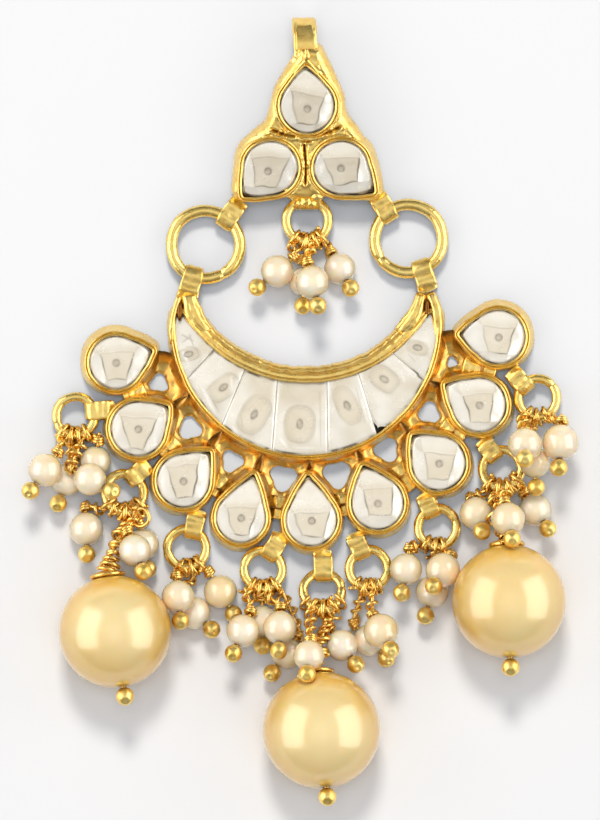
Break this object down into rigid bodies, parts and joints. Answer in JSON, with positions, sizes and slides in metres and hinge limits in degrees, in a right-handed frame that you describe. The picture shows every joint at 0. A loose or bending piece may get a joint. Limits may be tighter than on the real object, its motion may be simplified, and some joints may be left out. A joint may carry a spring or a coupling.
{
  "type": "dangle earring",
  "caption": "Gold-coloured dangle earring lying face up: drop-shaped clear stones, a stone-set crescent with petals, and pearl clusters on rings.",
  "frame": {"origin": "middle of the outline on the surface that the earring lies on", "axes": "+Z out of the front face, +Y towards the ear hook, +X to the right seen from the front"},
  "size_m": [0.049, 0.0692, 0.0103],
  "materials": {
    "gold": "polished, hand-finished gold plate",
    "stone": "clear flat-cut stone over foil",
    "ring_gold": "polished gold-plated wire",
    "pin_gold": "polished gold-plated wire",
    "small_pearl": "pearl lustre",
    "large_pearl": "champagne pearl lustre"
  },
  "bodies": {
    "root": {"top_frame": "gold", "ear_hook": "gold", "top_stone_1": "stone", "top_stone_2": "stone", "top_stone_3": "stone", "link_ring_left": "ring_gold", "link_ring_right": "ring_gold", "centre_ring": "ring_gold", "lower_frame": "gold", "crescent_stone_1": "stone", "crescent_stone_2": "stone", "crescent_stone_3": "stone", "crescent_stone_4": "stone", "crescent_stone_5": "stone", "crescent_stone_6": "stone", "crescent_stone_7": "stone", "petal_stone_1": "stone", "petal_stone_2": "stone", "petal_stone_3": "stone", "petal_stone_4": "stone", "petal_stone_5": "stone", "petal_stone_6": "stone", "petal_stone_7": "stone", "petal_stone_8": "stone", "petal_stone_9": "stone", "jump_ring_a": "ring_gold", "jump_ring_b": "ring_gold", "jump_ring_c": "ring_gold", "jump_ring_d": "ring_gold", "jump_ring_e": "ring_gold", "jump_ring_f": "ring_gold", "jump_ring_g": "ring_gold", "jump_ring_h": "ring_gold", "jump_ring_i": "ring_gold", "pearls_0": "small_pearl", "pearls_a": "small_pearl", "pearls_b": "small_pearl", "pearls_c": "small_pearl", "pearls_d": "small_pearl", "pearls_e": "small_pearl", "pearls_f": "small_pearl", "pearls_g": "small_pearl", "pearls_h": "small_pearl", "pearls_i": "small_pearl", "head_pins_0": "pin_gold", "head_pins_a": "pin_gold", "head_pins_b": "pin_gold", "head_pins_c": "pin_gold", "head_pins_d": "pin_gold", "head_pins_e": "pin_gold", "head_pins_f": "pin_gold", "head_pins_g": "pin_gold", "head_pins_h": "pin_gold", "head_pins_i": "pin_gold", "large_pearl_b": "large_pearl", "large_pearl_e": "large_pearl", "large_pearl_h": "large_pearl", "large_pin_b": "pin_gold", "large_pin_e": "pin_gold", "large_pin_h": "pin_gold"}
  },
  "joints": []
}
